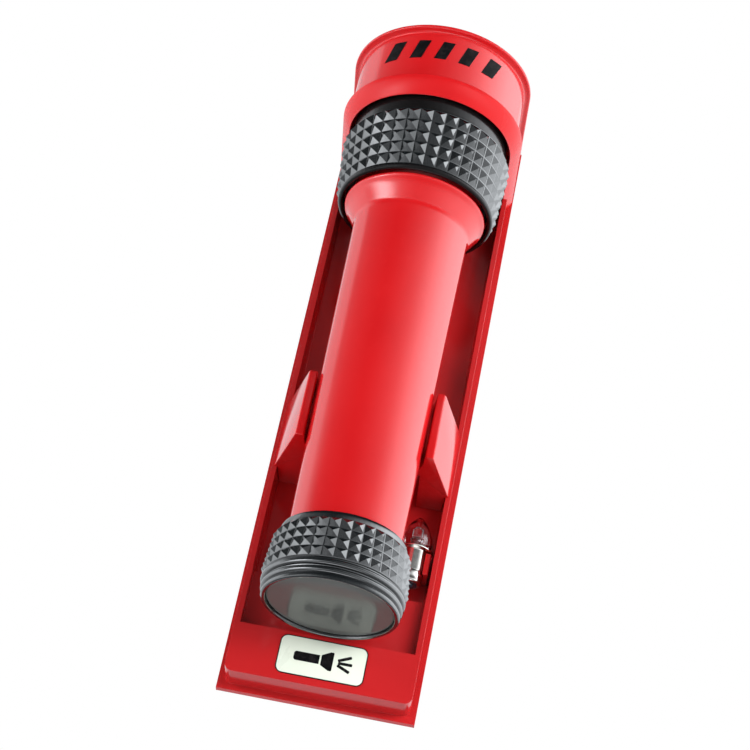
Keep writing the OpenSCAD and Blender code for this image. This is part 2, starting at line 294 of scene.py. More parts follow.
def cyl_tool(name, x, z, r, y0, y1, n=48):
    return prism(name, [(x + r * math.cos(2 * math.pi * i / n), z + r * math.sin(2 * math.pi * i / n)) for i in range(n)], "y", y0, y1)


def clean(o, dist=1e-6):
    bm = bmesh.new()
    bm.from_mesh(o.data)
    bmesh.ops.remove_doubles(bm, verts=bm.verts, dist=dist)
    bmesh.ops.dissolve_degenerate(bm, edges=bm.edges, dist=dist)
    bm.to_mesh(o.data)
    bm.free()


# ------------------------------------------------------------------ materials
def nodes_of(name):
    m = bpy.data.materials.new(name)
    m.use_nodes = True
    nt = m.node_tree
    nt.nodes.clear()
    out = nt.nodes.new("ShaderNodeOutputMaterial")
    bsdf = nt.nodes.new("ShaderNodeBsdfPrincipled")
    nt.links.new(bsdf.outputs["BSDF"], out.inputs["Surface"])
    return m, nt, bsdf


def noise(nt, scale, detail=4.0, rough=0.55, dist=0.0, coord=None):
    n = nt.nodes.new("ShaderNodeTexNoise")
    n.inputs["Scale"].default_value = scale
    n.inputs["Detail"].default_value = detail
    n.inputs["Roughness"].default_value = rough
    n.inputs["Distortion"].default_value = dist
    nt.links.new(coord, n.inputs["Vector"])
    return n.outputs["Fac"]


def span(nt, src, a, b, c, d):
    n = nt.nodes.new("ShaderNodeMapRange")
    n.inputs["From Min"].default_value = a
    n.inputs["From Max"].default_value = b
    n.inputs["To Min"].default_value = c
    n.inputs["To Max"].default_value = d
    nt.links.new(src, n.inputs["Value"])
    return n.outputs["Result"]


def math_node(nt, op, a, b=None):
    n = nt.nodes.new("ShaderNodeMath")
    n.operation = op
    for i, v in enumerate((a, b)):
        if v is None:
            continue
        if isinstance(v, (int, float)):
            n.inputs[i].default_value = v
        else:
            nt.links.new(v, n.inputs[i])
    return n.outputs[0]


def mix(nt, fac, a, b):
    n = nt.nodes.new("ShaderNodeMix")
    n.data_type = "RGBA"
    nt.links.new(fac, n.inputs["Factor"]) if not isinstance(fac, float) else setattr(n.inputs["Factor"], "default_value", fac)
    for key, v in (("A", a), ("B", b)):
        s = [i for i in n.inputs if i.name == key and i.type == "RGBA"][0]
        if isinstance(v, tuple):
            s.default_value = (*v, 1.0)
        else:
            nt.links.new(v, s)
    return [o for o in n.outputs if o.type == "RGBA"][0]


def moulded(name, base, dark, worn, r_lo, r_hi, grain=2600.0, grain_amt=0.02, orange=180.0, orange_amt=0.06, wear=0.5, coat=0.0, spec=0.5, edge_wear_and_highlight_col=None, ior=1.5):
    """Moulded plastic: cloudy colour variation, uneven gloss, fine mould texture and rubbed edges; a given edge colour
    makes the rubbed edges lighter, partly rubbed wear and partly a painted highlight along the edges.
    """
    m, nt, bsdf = nodes_of(name)
    tc = nt.nodes.new("ShaderNodeTexCoord").outputs["Object"]
    cloud = noise(nt, 28.0, 3.0, 0.5, 0.3, tc)
    fine = noise(nt, 240.0, 5.0, 0.6, 0.0, tc)
    col = mix(nt, span(nt, cloud, 0.35, 0.7, 0.0, 1.0), base, dark)
    col = mix(nt, span(nt, fine, 0.58, 0.8, 0.0, 0.10), col, worn)
    geo = nt.nodes.new("ShaderNodeNewGeometry").outputs["Pointiness"]
    edge = span(nt, geo, 0.53, 0.62, 0.0, 1.0)
    scuff = span(nt, noise(nt, 420.0, 3.0, 0.7, 0.0, tc), 0.45, 0.7, 0.0, wear)
    # edge mask: rubbed wear, and where an edge colour is given also a painted highlight along the edges
    edge_wear_and_sheen = math_node(nt, "MULTIPLY", edge, scuff)
    col = mix(nt, edge_wear_and_sheen, col, edge_wear_and_highlight_col or worn)
    nt.links.new(col, bsdf.inputs["Base Color"])
    smudge = noise(nt, 46.0, 6.0, 0.62, 0.6, tc)
    rough = span(nt, smudge, 0.3, 0.72, r_lo, r_hi)
    rough = math_node(nt, "ADD", rough, math_node(nt, "MULTIPLY", edge_wear_and_sheen, 0.18))
    nt.links.new(rough, bsdf.inputs["Roughness"])
    b1 = nt.nodes.new("ShaderNodeBump")
    b1.inputs["Strength"].default_value = orange_amt
    b1.inputs["Distance"].default_value = 0.0004
    nt.links.new(noise(nt, orange, 2.0, 0.4, 0.0, tc), b1.inputs["Height"])
    b2 = nt.nodes.new("ShaderNodeBump")
    b2.inputs["Strength"].default_value = grain_amt
    b2.inputs["Distance"].default_value = 0.00012
    nt.links.new(noise(nt, grain, 2.0, 0.5, 0.0, tc), b2.inputs["Height"])
    nt.links.new(b1.outputs["Normal"], b2.inputs["Normal"])
    nt.links.new(b2.outputs["Normal"], bsdf.inputs["Normal"])
    bsdf.inputs["IOR"].default_value = ior
    bsdf.inputs["Specular IOR Level"].default_value = spec
    if coat:
        bsdf.inputs["Coat Weight"].default_value = coat
        bsdf.inputs["Coat Roughness"].default_value = 0.06
    return m


def metal(name, base, dark, r_lo, r_hi, scale=600.0, bump=0.05, metallic=1.0):
    m, nt, bsdf = nodes_of(name)
    tc = nt.nodes.new("ShaderNodeTexCoord").outputs["Object"]
    a = noise(nt, scale, 5.0, 0.6, 0.2, tc)
    b = noise(nt, scale * 0.12, 3.0, 0.5, 0.4, tc)
    nt.links.new(mix(nt, span(nt, b, 0.3, 0.75, 0.0, 1.0), base, dark), bsdf.inputs["Base Color"])
    nt.links.new(span(nt, a, 0.3, 0.75, r_lo, r_hi), bsdf.inputs["Roughness"])
    bsdf.inputs["Metallic"].default_value = metallic
    bp = nt.nodes.new("ShaderNodeBump")
    bp.inputs["Strength"].default_value = bump
    bp.inputs["Distance"].default_value = 0.0001
    nt.links.new(a, bp.inputs["Height"])
    nt.links.new(bp.outputs["Normal"], bsdf.inputs["Normal"])
    return m


def glassy(name, tint, tint2, ior, r_lo, r_hi):
    m, nt, bsdf = nodes_of(name)
    tc = nt.nodes.new("ShaderNodeTexCoord").outputs["Object"]
    a = noise(nt, 120.0, 4.0, 0.5, 0.2, tc)
    nt.links.new(mix(nt, span(nt, a, 0.3, 0.8, 0.0, 1.0), tint, tint2), bsdf.inputs["Base Color"])
    nt.links.new(span(nt, a, 0.3, 0.8, r_lo, r_hi), bsdf.inputs["Roughness"])
    bsdf.inputs["Transmission Weight"].default_value = 1.0
    bsdf.inputs["IOR"].default_value = ior
    bp = nt.nodes.new("ShaderNodeBump")
    bp.inputs["Strength"].default_value = 0.03
    bp.inputs["Distance"].default_value = 0.0003
    nt.links.new(noise(nt, 60.0, 2.0, 0.5, 0.0, tc), bp.inputs["Height"])
    nt.links.new(bp.outputs["Normal"], bsdf.inputs["Normal"])
    return m


RED = moulded("red_gloss", (0.515, 0.0085, 0.0100), (0.470, 0.0065, 0.0080), (0.64, 0.035, 0.035), 0.09, 0.15, orange_amt=0.02, grain_amt=0.006, wear=0.3, spec=0.43)
RED_SATIN = moulded("red_satin", (0.515, 0.0090, 0.0105), (0.470, 0.0070, 0.0085), (0.64, 0.035, 0.035), 0.20, 0.30, orange_amt=0.02, grain_amt=0.010, wear=0.3, spec=0.15)
# tray: its lighter edge colour is partly rubbed wear and partly a painted highlight along the rounded rims
RED_TRAY = moulded("red_tray", (0.475, 0.0150, 0.0165), (0.43, 0.0115, 0.0125), (0.60, 0.025, 0.025), 0.11, 0.18, orange_amt=0.03, grain_amt=0.010, wear=0.2, spec=0.34, edge_wear_and_highlight_col=(0.66, 0.06, 0.06))
BLACK = moulded("black_satin", (0.0038, 0.0052, 0.0058), (0.0026, 0.0038, 0.0042), (0.026, 0.031, 0.033), 0.12, 0.19, orange_amt=0.02, grain_amt=0.03, wear=0.35, spec=0.8, ior=1.7)
# darker, less glossy copy of the black plastic with a faint red tint: painted shade for the nose inside the hood and
# the ring's lower lip band, the tint a painted reflection of the red hood
BLACK_PAINTED_SHADE = moulded("black_painted_shade", (0.0050, 0.0042, 0.0042), (0.0036, 0.0030, 0.0030), (0.026, 0.024, 0.024), 0.16, 0.24, orange_amt=0.02, grain_amt=0.03, wear=0.2, spec=0.28)
BLACK_IN = moulded("black_inner", (0.02, 0.02, 0.021), (0.012, 0.012, 0.013), (0.05, 0.05, 0.052), 0.35, 0.5, wear=0.2)
CREAM = moulded("label_film", (0.70, 0.735, 0.61), (0.665, 0.70, 0.58), (0.76, 0.78, 0.68), 0.26, 0.38, grain=3200.0, grain_amt=0.03, orange=90.0, orange_amt=0.02, wear=0.25)
INK = moulded("printing_ink", (0.0030, 0.0030, 0.0035), (0.0055, 0.0055, 0.0060), (0.05, 0.04, 0.04), 0.42, 0.6, grain=3600.0, grain_amt=0.05, wear=0.25, spec=0.10)
RUBBER = moulded("seal_rubber", (0.02, 0.02, 0.02), (0.013, 0.013, 0.013), (0.05, 0.05, 0.05), 0.55, 0.75, wear=0.3)
NICKEL = metal("nickel_plate", (0.74, 0.72, 0.68), (0.62, 0.60, 0.56), 0.10, 0.24)
BRASS = metal("brass_strip", (0.80, 0.58, 0.24), (0.62, 0.43, 0.17), 0.18, 0.34)
STEEL = metal("bright_wire", (0.60, 0.60, 0.61), (0.46, 0.46, 0.47), 0.20, 0.36)
MIRROR = metal("reflector_metal", (0.92, 0.92, 0.93), (0.86, 0.86, 0.88), 0.03, 0.08, scale=200.0, bump=0.02)
DISC = moulded("tail_disc_gloss", (0.082, 0.086, 0.080), (0.074, 0.078, 0.072), (0.14, 0.14, 0.13), 0.13, 0.19, orange_amt=0.01, grain_amt=0.004, wear=0.2, spec=0.22)
JACKET = metal("cell_jacket", (0.10, 0.11, 0.15), (0.07, 0.075, 0.10), 0.28, 0.42, metallic=0.6)
GLASS = glassy("bulb_glass", (1.0, 1.0, 1.0), (0.96, 0.99, 1.0), 1.47, 0.0, 0.03)
LENS = glassy("lens_clear", (1.0, 1.0, 1.0), (0.97, 0.99, 1.0), 1.49, 0.0, 0.04)
BEAD = moulded("insulator_bead", (0.02, 0.022, 0.03), (0.015, 0.015, 0.02), (0.06, 0.06, 0.07), 0.1, 0.2)


def dress(o, mat):
    o.data.materials.clear()
    o.data.materials.append(mat)


node_mats = {
    "back_tray": RED_TRAY, "hood": RED, "clip_arm_left": RED, "clip_arm_right": RED, "label": CREAM, "hood_mark": INK,
    "bulb_clip": RED_TRAY, "switch_boss": RED_TRAY, "spare_glass": GLASS, "spare_base": NICKEL, "spare_insulator": BEAD,
    "spare_filament": STEEL, "barrel": RED, "contact_strip": BRASS, "tail_oring": RUBBER, "head_oring": RUBBER,
    "cell_rear": JACKET, "cell_rear_terminals": NICKEL, "cell_front": JACKET, "cell_front_terminals": NICKEL,
    "lamp_holder": BLACK_IN, "centre_contact": BRASS, "lamp_glass": GLASS, "lamp_base": NICKEL, "lamp_insulator": BEAD,
    "lamp_filament": STEEL, "switch_plunger": BLACK, "tail_spring": STEEL, "tail_plate": NICKEL, "tail_cap": BLACK,
    "tail_disc": DISC, "reflector": MIRROR, "lens": LENS, "lens_gasket": RUBBER, "head_ring": BLACK,
}
for key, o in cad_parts.items():
    o.data.materials.clear()
    o.data.materials.append(node_mats[key])

# ------------------------------------------------------------------ bracket
# back plate, walls, shelf and label pad, joined, cored and rounded
tray = prism("tray_shell", [(-35.2, -20.6), (35.2, -20.6), (35.2, 229.6), (-35.2, 229.6)], "y", 0.0, -PLATE)
block_pts = fillet([(-32.9, -18.2), (32.9, -18.2), (32.9, 198.2), (-32.9, 198.2)], [2.6, 2.6, 0, 0], 8)
block = prism("tray_block", block_pts, "y", -1.0, -RIM)
boolean(tray, block, "UNION")


def tapered(name, x0, x1, z0, z1, y0, y1, g):
    """A box that widens by g towards the front, used to cut a drafted pocket."""
    bm = bmesh.new()
    a = [bm.verts.new(P(*p)) for p in ((-x0, y0, z0), (x0, y0, z0), (x0, y0, z1), (-x0, y0, z1))]
    b = [bm.verts.new(P(*p)) for p in ((-x1, y1, z0 - g), (x1, y1, z0 - g), (x1, y1, z1), (-x1, y1, z1))]
    bm.faces.new(a)
    bm.faces.new(list(reversed(b)))
    for i in range(4):
        j = (i + 1) % 4
        bm.faces.new((a[i], b[i], b[j], a[j]))
    return finish_mesh(name, bm, None, 32.0, smooth=False)


boolean(tray, tapered("pocket", 30.3, 31.2, 22.2, 205.0, -PLATE, -RIM - 1.0, 0.0))
boolean(tray, tapered("shelf_cut", 30.6, 31.1, 0.5, 30.0, -10.0, -RIM - 1.0, 0.2))
core = prism("core", [(0.5, -15.8), (-RIM + 2.4, -15.8), (-RIM + 2.4, -2.1), (-7.8, -2.1), (-7.8, 19.8), (0.5, 19.8)], "x", -28.0, 28.0)
boolean(tray, core)
for s in (-1, 1):
    boolean(tray, cyl_tool("ringup", 0.0, ZM + s * 50.0, 6.0, -1.0, -4.0), "UNION")
for s in (-1, 1):
    boolean(tray, cyl_tool("hole", 0.0, ZM + s * 50.0, 2.3, 1.0, -6.0))
clean(tray)
add_bevel(tray, 0.75, 3, 42.0)
shade(tray, 35.0)
weigh(tray)
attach(tray, "bracket")
dress(tray, RED_TRAY)

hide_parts("back_tray")

# hood: a finely rounded section swept round the axis and back to the plate
H0, H1 = 198.2, 229.6
outer = [(30.9, H1 - 2.2)]
outer += spline([(30.9, H0 + 0.8), (30.98, H0 + 0.45), (31.15, H0 + 0.24), (31.45, H0 + 0.2), (32.05, H0 + 1.08), (33.08, H0 + 2.76), (33.98, H0 + 4.52), (34.6, H0 + 5.98)], 4)
outer += fillet([(34.6, H0 + 5.98), (34.94, H0 + 7.28), (32.4, H0 + 7.38), (32.36, H1 - 2.9)], [0, 0.34, 0.45, 0], 6)[1:]
outer += spline([(32.36, H1 - 2.9), (32.40, H1 - 2.42), (32.62, H1 - 2.06), (33.2, H1 - 1.72), (34.0, H1 - 1.40)], 4)[1:]
outer += spline([(34.0, H1 - 1.40), (34.45, H1 - 1.20), (34.68, H1 - 0.92), (34.73, H1 - 0.58), (34.65, H1 - 0.24), (34.42, H1 - 0.06), (34.1, H1)], 3)[1:]
outer += [(0.0, H1)]
hood_prof = [(0.0, H1 - 2.2)] + outer  # open at r = 0
bm = bmesh.new()
stations = []
NARC = 128
ys = [-PLATE, -12.0, -21.0, -30.0]
for y in ys:
    stations.append(("s", 1, y))
for k in range(NARC + 1):
    stations.append(("a", k / NARC, 0))
for y in reversed(ys):
    stations.append(("s", -1, y))
rings = []
for kind, u, y in stations:
    row = []
    for r, z in hood_prof:
        if kind == "s":
            row.append(bm.verts.new(P(u * r, y, z)))
        else:
            t = math.pi * u
            row.append(bm.verts.new(P(r * math.cos(t), -AX - r * math.sin(t), z)))
    rings.append(row)
for a, b in zip(rings, rings[1:]):
    for i in range(len(hood_prof) - 1):
        bm.faces.new((a[i], b[i], b[i + 1], a[i + 1]))
bmesh.ops.remove_doubles(bm, verts=bm.verts, dist=1e-7)
bmesh.ops.dissolve_degenerate(bm, edges=bm.edges, dist=1e-7)
edges = [e for e in bm.edges if len(e.link_faces) == 1]
bmesh.ops.holes_fill(bm, edges=edges, sides=0)
big = [f for f in bm.faces if len(f.verts) > 8]
bmesh.ops.triangulate(bm, faces=big)
hood = finish_mesh("hood_shell", bm, "bracket", 30.0)
weigh(hood)
dress(hood, RED)
hood.data.materials.append(RED_SATIN)
for pf in hood.data.polygons:
    if (H0 + 0.3 - ZM) * MM < pf.center.z < (H0 + 6.6 - ZM) * MM:
        pf.material_index = 1
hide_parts("hood")


# clip arms
def arm_points(s):
    pts = [(30.3, -PLATE), (20.7, -PLATE), (20.7, -AX + 12.5)]
    for a in range(30, -3, -2):
        t = math.radians(a)
        pts.append((21.6 * math.cos(t), -AX + 21.6 * math.sin(t)))
    tip = fillet([(21.62, -39.6), (21.9, -41.15), (24.75, -41.2), (32.35, -RIM + 0.4), (31.3, -RIM + 0.1), (30.9, -RIM + 1.0)],
                 [0, 0.7, 1.0, 0.5, 0.3, 0], 7)[1:]
    pts += tip
    return [(s * x, y) for x, y in pts]


for s, side in ((-1, "left"), (1, "right")):
    arm = prism("arm_" + side, arm_points(s), "z", 63.0, 89.6, None, 0.45, 3, 48.0)
    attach(arm, "bracket")
    dress(arm, RED)
    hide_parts("clip_arm_" + side)

# label with a dark frame round its edge and a printed pictogram
LZ = (-17.4 + 0.3) / 2 + 0.3


def rounded_rect(w, h, r, seg=8, cx=-0.3, cz=LZ):
    return fillet([(cx - w / 2, cz - h / 2), (cx + w / 2, cz - h / 2), (cx + w / 2, cz + h / 2), (cx - w / 2, cz + h / 2)], [r] * 4, seg)


lab = prism("label_film", rounded_rect(30.8, 14.4, 2.6), "y", -RIM + 0.25, -RIM - 0.17, None, 0.06, 2, 60.0)
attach(lab, "bracket")
dress(lab, CREAM)
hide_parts("label")


def frame_piece(name, w, h, r, t, y0, y1):
    o_pts = rounded_rect(w, h, r)
    i_pts = rounded_rect(w - 2 * t, h - 2 * t, r - t)
    bm = bmesh.new()
    n = len(o_pts)
    rows = [[bm.verts.new(P(p[0], y, p[1])) for p in pts] for pts, y in ((o_pts, y0), (o_pts, y1), (i_pts, y1), (i_pts, y0))]
    for k in range(4):
        a, b = rows[k], rows[(k + 1) % 4]
        for i in range(n):
            j = (i + 1) % n
            bm.faces.new((a[i], b[i], b[j], a[j]))
    return finish_mesh(name, bm, "bracket", 40.0)


# dark frame slightly larger than the label, lapping its edge all round
border = frame_piece("label_border", 31.0, 14.6, 2.7, 0.36, -RIM - 0.02, -RIM - 0.20)
dress(border, INK)


def glyph(name, pts):
    g = prism(name, pts, "y", -RIM - 0.12, -RIM - 0.20, "bracket")
    dress(g, INK)
    return g


# torch outline lying on its side, with three rays
cz = LZ
glyph("label_torch_body", fillet([(-10.2, cz - 1.7), (-1.2, cz - 1.7), (-1.2, cz + 1.7), (-10.2, cz + 1.7)], [0.9, 0, 0, 0.9], 5))
glyph("label_torch_head", fillet([(-0.6, cz - 1.9), (2.4, cz - 3.5), (3.6, cz - 3.5), (3.6, cz + 3.5), (2.4, cz + 3.5), (-0.6, cz + 1.9)], [0.3, 0.4, 0.4, 0.4, 0.4, 0.3], 4))
for k, a in enumerate((-24, 0, 24)):
    t = math.radians(a)
    c, s_ = math.cos(t), math.sin(t)
    x0, z0 = 3.4 + 0.0, cz
    ray = []
    for u, v in ((2.0, -0.55), (7.0, -0.55), (7.0, 0.55), (2.0, 0.55)):
        ray.append((x0 + u * c - v * s_, z0 + u * s_ + v * c))
    glyph("label_ray_%d" % (k + 1), fillet(ray, [0.3] * 4, 3))

# spare bulb clip and bulb
BX, BY, BZ = 23.7, -9.6, 27.7
clip_pts = fillet([(BX - 6.4, -PLATE), (BX - 6.4, -12.38), (BX - 4.2, -12.38), (BX - 4.2, -11.75)], [0, 0.8, 0.7, 0], 5)
clip_pts += [(BX + 4.7 * math.cos(math.radians(a)), BY + 4.7 * math.sin(math.radians(a))) for a in range(204, -25, -8)]
clip_pts += fillet([(BX + 4.2, -11.75), (BX + 4.2, -12.38), (BX + 6.4, -12.38), (BX + 6.4, -PLATE)], [0, 0.7, 0.8, 0], 5)
clip = prism("bulb_cradle", clip_pts, "z", 32.2, 40.6, None, 0.45, 3, 50.0)
weigh(clip)
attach(clip, "bracket")
dress(clip, RED)
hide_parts("bulb_clip")


def bulb(prefix, x, y, z, body, names):
    g_out = [(0.0, 27.6), (0.35, 27.57)] + spline([(0.7, 27.44), (1.35, 26.94), (2.12, 26.05), (2.92, 24.95), (3.66, 23.75), (4.3, 22.55), (4.85, 21.35), (5.3, 20.15), (5.64, 19.0), (5.88, 17.8), (5.97, 16.6), (5.8, 15.5), (5.3, 15.0)], 3)
    g_in = [(4.9, 15.0)] + spline([(5.35, 15.5), (5.52, 16.6), (5.45, 17.8), (5.22, 19.0), (4.88, 20.15), (4.43, 21.35), (3.9, 22.55), (3.27, 23.6), (2.55, 24.6), (1.85, 25.5), (1.1, 26.4), (0.4, 26.95)], 3) + [(0.0, 27.02)]
    prof = [(r, z + h) for r, h in g_out + g_in]
    gl = revolve(prefix + "_envelope", prof, 64, body, closed=False, xc=x, yc=y, angle=50.0)
    dress(gl, GLASS)
    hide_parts(names[0])
    pts = [(0.0, 0.65), (3.6, 0.65), (4.15, 0.8), (4.5, 1.2), (4.6, 1.8), (4.6, 5.0), (4.48, 5.2), (4.48, 5.5), (4.6, 5.7), (4.6, 12.9), (4.8, 13.25),
           (5.3, 13.41), (6.4, 13.42), (6.62, 13.52), (6.73, 13.8), (6.62, 14.08), (6.35, 14.17), (5.9, 14.2), (5.6, 14.35), (5.45, 14.6), (5.35, 15.0), (5.0, 15.02), (0.0, 15.0)]
    b = revolve(prefix + "_shell", [(r, z + h) for r, h in pts], 72, body, closed=False, xc=x, yc=y, angle=40.0)
    dress(b, NICKEL)
    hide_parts(names[1])
    # leads, bead and filament
    for k, sx in enumerate((-1, 1)):
        ld = revolve(prefix + "_lead_%d" % (k + 1), [(0.0, z + 14.0), (0.28, z + 14.0), (0.26, z + 18.0), (0.22, z + 22.6), (0.15, z + 22.9), (0.0, z + 22.95)], 12, body, closed=False, xc=x + sx * 1.7, yc=y)
        dress(ld, STEEL)
    bd = revolve(prefix + "_bead", [(0.0, z + 17.6), (1.2, z + 17.7), (2.1, z + 18.1), (2.35, z + 18.6), (2.1, z + 19.1), (1.2, z + 19.5), (0.0, z + 19.6)], 32, body, closed=False, xc=x, yc=y)
    dress(bd, GLASS)
    bmf = bmesh.new()
    nn, mm_, wr, cr = 90, 6, 0.07, 0.28
    rows = []
    for i in range(nn + 1):
        t = i / nn
        a = 2 * math.pi * 11 * t
        cx, cy, czz = x - 1.7 + 3.4 * t, y + cr * math.cos(a), z + 22.7 + cr * math.sin(a) + 0.9 * math.sin(math.pi * t)
        ring = []
        for j in range(mm_):
            b2 = 2 * math.pi * j / mm_
            ring.append(bmf.verts.new(P(cx + wr * math.cos(b2), cy + wr * math.sin(b2) * math.cos(a), czz + wr * math.sin(b2) * math.sin(a))))
        rows.append(ring)
    for p, q in zip(rows, rows[1:]):
        for j in range(mm_):
            k2 = (j + 1) % mm_
            bmf.faces.new((p[j], q[j], q[k2], p[k2]))
    bmf.faces.new(rows[0])
    bmf.faces.new(list(reversed(rows[-1])))
    fil = finish_mesh(prefix + "_coil", bmf, body, 60.0)
    dress(fil, STEEL)
    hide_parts(names[2])


bulb("spare_bulb", BX, BY, BZ, "bracket", ("spare_glass", "spare_base", "spare_filament"))
bulb("main_bulb", 0.0, -AX, 140.6, "torch", ("lamp_glass", "lamp_base", "lamp_filament"))

# ------------------------------------------------------------------ torch
# barrel: one fine section, with the plunger's stepped hole cut through the back
bar = [(17.6, 8.0), (19.2, 8.0)]
for k in range(2):
    z = 8.6 + k * 3.4
    bar += [(19.65, z), (19.7, z + 1.2), (19.25, z + 1.8), (19.2, z + 2.6)]
bar += [(19.7, 15.2), (19.7, 16.0), (18.7, 16.1), (18.7, 18.2), (19.7, 18.3), (20.0, 19.5), (20.0, 28.0)]
for k in range(1, 13):
    t = k / 12
    bar.append((20.0 + 1.6 * t, 28.0 + 127.0 * t))
bar += [(21.72, 156.3), (21.95, 157.1), (22.3, 157.7), (22.8, 158.6), (23.4, 159.7), (24.1, 160.95), (24.8, 162.2), (25.35, 163.1), (25.85, 163.75),
        (26.25, 164.2), (26.52, 164.6), (26.66, 164.95), (26.68, 165.2), (26.6, 165.42), (26.4, 165.58), (26.1, 165.66), (25.6, 165.72), (25.3, 165.8), (25.2, 166.0),
        (25.2, 170.0), (24.7, 170.1), (24.7, 172.1), (25.2, 172.2), (25.2, 177.3), (24.8, 177.75), (23.4, 177.8), (23.2, 177.6), (23.2, 166.0), (19.6, 157.0), (17.6, 152.0)]
barrel = revolve("barrel_tube", bar, 192, None, closed=True, angle=34.0)
cut = cyl_tool("hole_stem", 0.0, 120.0, 3.05, -AX + 12.0, -AX + 24.0, 40)
boolean(barrel, cut)
cut = cyl_tool("hole_step", 0.0, 120.0, 4.4, -AX + 12.0, -AX + 20.4, 40)
boolean(barrel, cut)
clean(barrel)
shade(barrel, 34.0)
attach(barrel, "torch")
dress(barrel, RED)
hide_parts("barrel")

# tail cap
t_ra = lambda z: 25.75 - 0.1 * (z - 7.7)
low = [(20.6, 4.6), (0.0, 4.6), (0.0, 2.42), (22.35, 2.42), (22.35, 0.42)]
low += [(22.42, 0.2), (22.6, 0.06), (23.0, 0.0), (23.45, 0.05), (23.8, 0.22), (24.05, 0.55), (24.12, 0.95), (24.02, 1.32), (23.82, 1.6), (23.68, 1.8), (23.66, 1.95)]


def bead(rc, zc, r, k=10):
    return [(rc + r * math.cos(math.radians(a)), zc + r * math.sin(math.radians(a)) * 1.02) for a in [-74 + 148 * i / k for i in range(k + 1)]]


low += bead(23.54, 3.14, 1.1) + [(23.82, 4.35), (23.9, 4.55)] + bead(24.02, 5.84, 1.1) + [(24.22, 7.02), (24.2, 7.3)]
up = [(22.7, 23.06), (22.68, 23.4), (22.62, 23.9), (22.52, 24.6), (22.38, 25.2), (22.2, 25.6), (21.95, 25.85), (21.6, 25.97), (21.2, 26.0),
      (20.3, 26.0), (20.1, 25.85), (20.07, 25.6), (20.07, 22.3), (20.6, 21.7)]
tail = knurled("tail_cap_body", low, 4, 36, 7.7, 3.83, t_ra, 1.12, up, "tail_end", turn=-2.1)
dress(tail, BLACK)
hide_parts("tail_cap")
disc = revolve("tail_disc_plate", [(0.0, 0.92), (8.0, 0.93), (16.0, 0.94), (21.2, 0.92), (21.7, 0.98), (22.05, 1.12), (22.25, 1.35), (22.25, 2.4), (0.0, 2.4)], 128, "tail_end", closed=False, angle=30.0)
dress(disc, DISC)
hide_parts("tail_disc")

# head ring
h_ra = lambda z: 30.6 + 0.078 * (z - 167.8)
low = [(26.6, 169.5), (27.5, 169.3), (27.6, 169.0), (27.6, 166.4), (27.68, 166.0), (27.92, 165.72), (28.3, 165.6), (28.75, 165.65), (29.12, 165.82), (29.4, 166.1), (29.56, 166.5), (29.58, 166.9), (29.44, 167.25), (29.15, 167.5), (28.9, 167.62)]
up = [(30.62, 192.02), (30.3, 192.12), (30.02, 192.3), (29.86, 192.6), (29.78, 193.1), (29.74, 194.0), (29.72, 197.0), (29.7, 200.8), (29.62, 201.7), (29.42, 202.6), (29.1, 203.3),
      (28.7, 203.75), (28.2, 203.97), (27.8, 204.0), (27.3, 203.9), (26.9, 203.6), (26.05, 201.7), (26.0, 201.4), (26.0, 200.75), (26.1, 200.7), (28.4, 200.7), (28.5, 200.6), (28.5, 178.5), (28.4, 178.4),
      (25.38, 178.2), (25.28, 178.1), (25.28, 172.8), (25.4, 172.6), (26.5, 172.4), (26.6, 172.3)]
head = knurled("head_ring_body", low, 5, 40, 167.8, 4.83, h_ra, 1.42, up, "head_end", turn=1.75)
dress(head, BLACK)
head.data.materials.append(BLACK_PAINTED_SHADE)
# the nose inside the hood and the lower lip band take the painted-shade copy of the black plastic
for pf in head.data.polygons:
    if pf.center.z > (193.2 - ZM) * MM or pf.center.z < (167.5 - ZM) * MM:
        pf.material_index = 1
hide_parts("head_ring")

# ------------------------------------------------------------------ stage, light, camera
sc = bpy.context.scene
sc.view_settings.view_transform = "Standard"
sc.view_settings.look = "None"
sc.view_settings.exposure = 0.0
sc.view_settings.gamma = 1.0

bm = bmesh.new()
bmesh.ops.create_grid(bm, x_segments=1, y_segments=1, size=6.0)
me = bpy.data.meshes.new("floor")
bm.to_mesh(me)
bm.free()
floor = bpy.data.objects.new("floor", me)
floor.location = (0.0, 0.0, -0.9)
sc.collection.objects.link(floor)
fm, fnt, fb = nodes_of("floor_pale")
ftc = fnt.nodes.new("ShaderNodeTexCoord").outputs["Object"]
fnt.links.new(mix(fnt, span(fnt, noise(fnt, 3.0, 3.0, 0.5, 0.0, ftc), 0.3, 0.7, 0.0, 1.0), (0.82, 0.82, 0.82), (0.78, 0.78, 0.78)), fb.inputs["Base Color"])
fb.inputs["Roughness"].default_value = 0.9
me.materials.append(fm)
floor.visible_glossy = False

world = bpy.data.worlds.new("studio")
sc.world = world
world.use_nodes = True
wn = world.node_tree
wn.nodes.clear()
wout = wn.nodes.new("ShaderNodeOutputWorld")
bg_cam = wn.nodes.new("ShaderNodeBackground")
bg_cam.inputs["Color"].default_value = (1.0, 1.0, 1.0, 1.0)
bg_cam.inputs["Strength"].default_value = 1.0
# brightness of the studio by compass direction, az 0 in front of the torch and positive to its right
STUDIO = [(-180, 1.0), (-140, 0.85), (-124, 1.05), (-108, 1.50), (-101, 1.42), (-97, 0.70), (-76, 0.44), (-50, 0.22), (-28, 0.08), (-12, 0.18), (4, 0.45), (20, 0.88),
          (36, 1.50), (52, 2.65), (68, 3.9), (84, 4.5), (100, 4.35), (116, 3.3), (132, 2.2), (148, 1.35), (165, 1.1), (180, 1.0)]
# the same a little below the horizon, where it fades towards the ground
LOW = [(-180, 0.9), (-140, 1.2), (-114, 2.0), (-95, 2.5), (-80, 3.3), (-64, 5.0), (-48, 4.2), (-33, 2.4), (-18, 1.3), (-3, 0.8), (11, 0.9), (27, 1.3),
       (42, 1.9), (57, 2.4), (71, 2.8), (85, 2.9), (100, 3.2), (114, 3.4), (130, 2.7), (150, 1.5), (180, 0.9)]
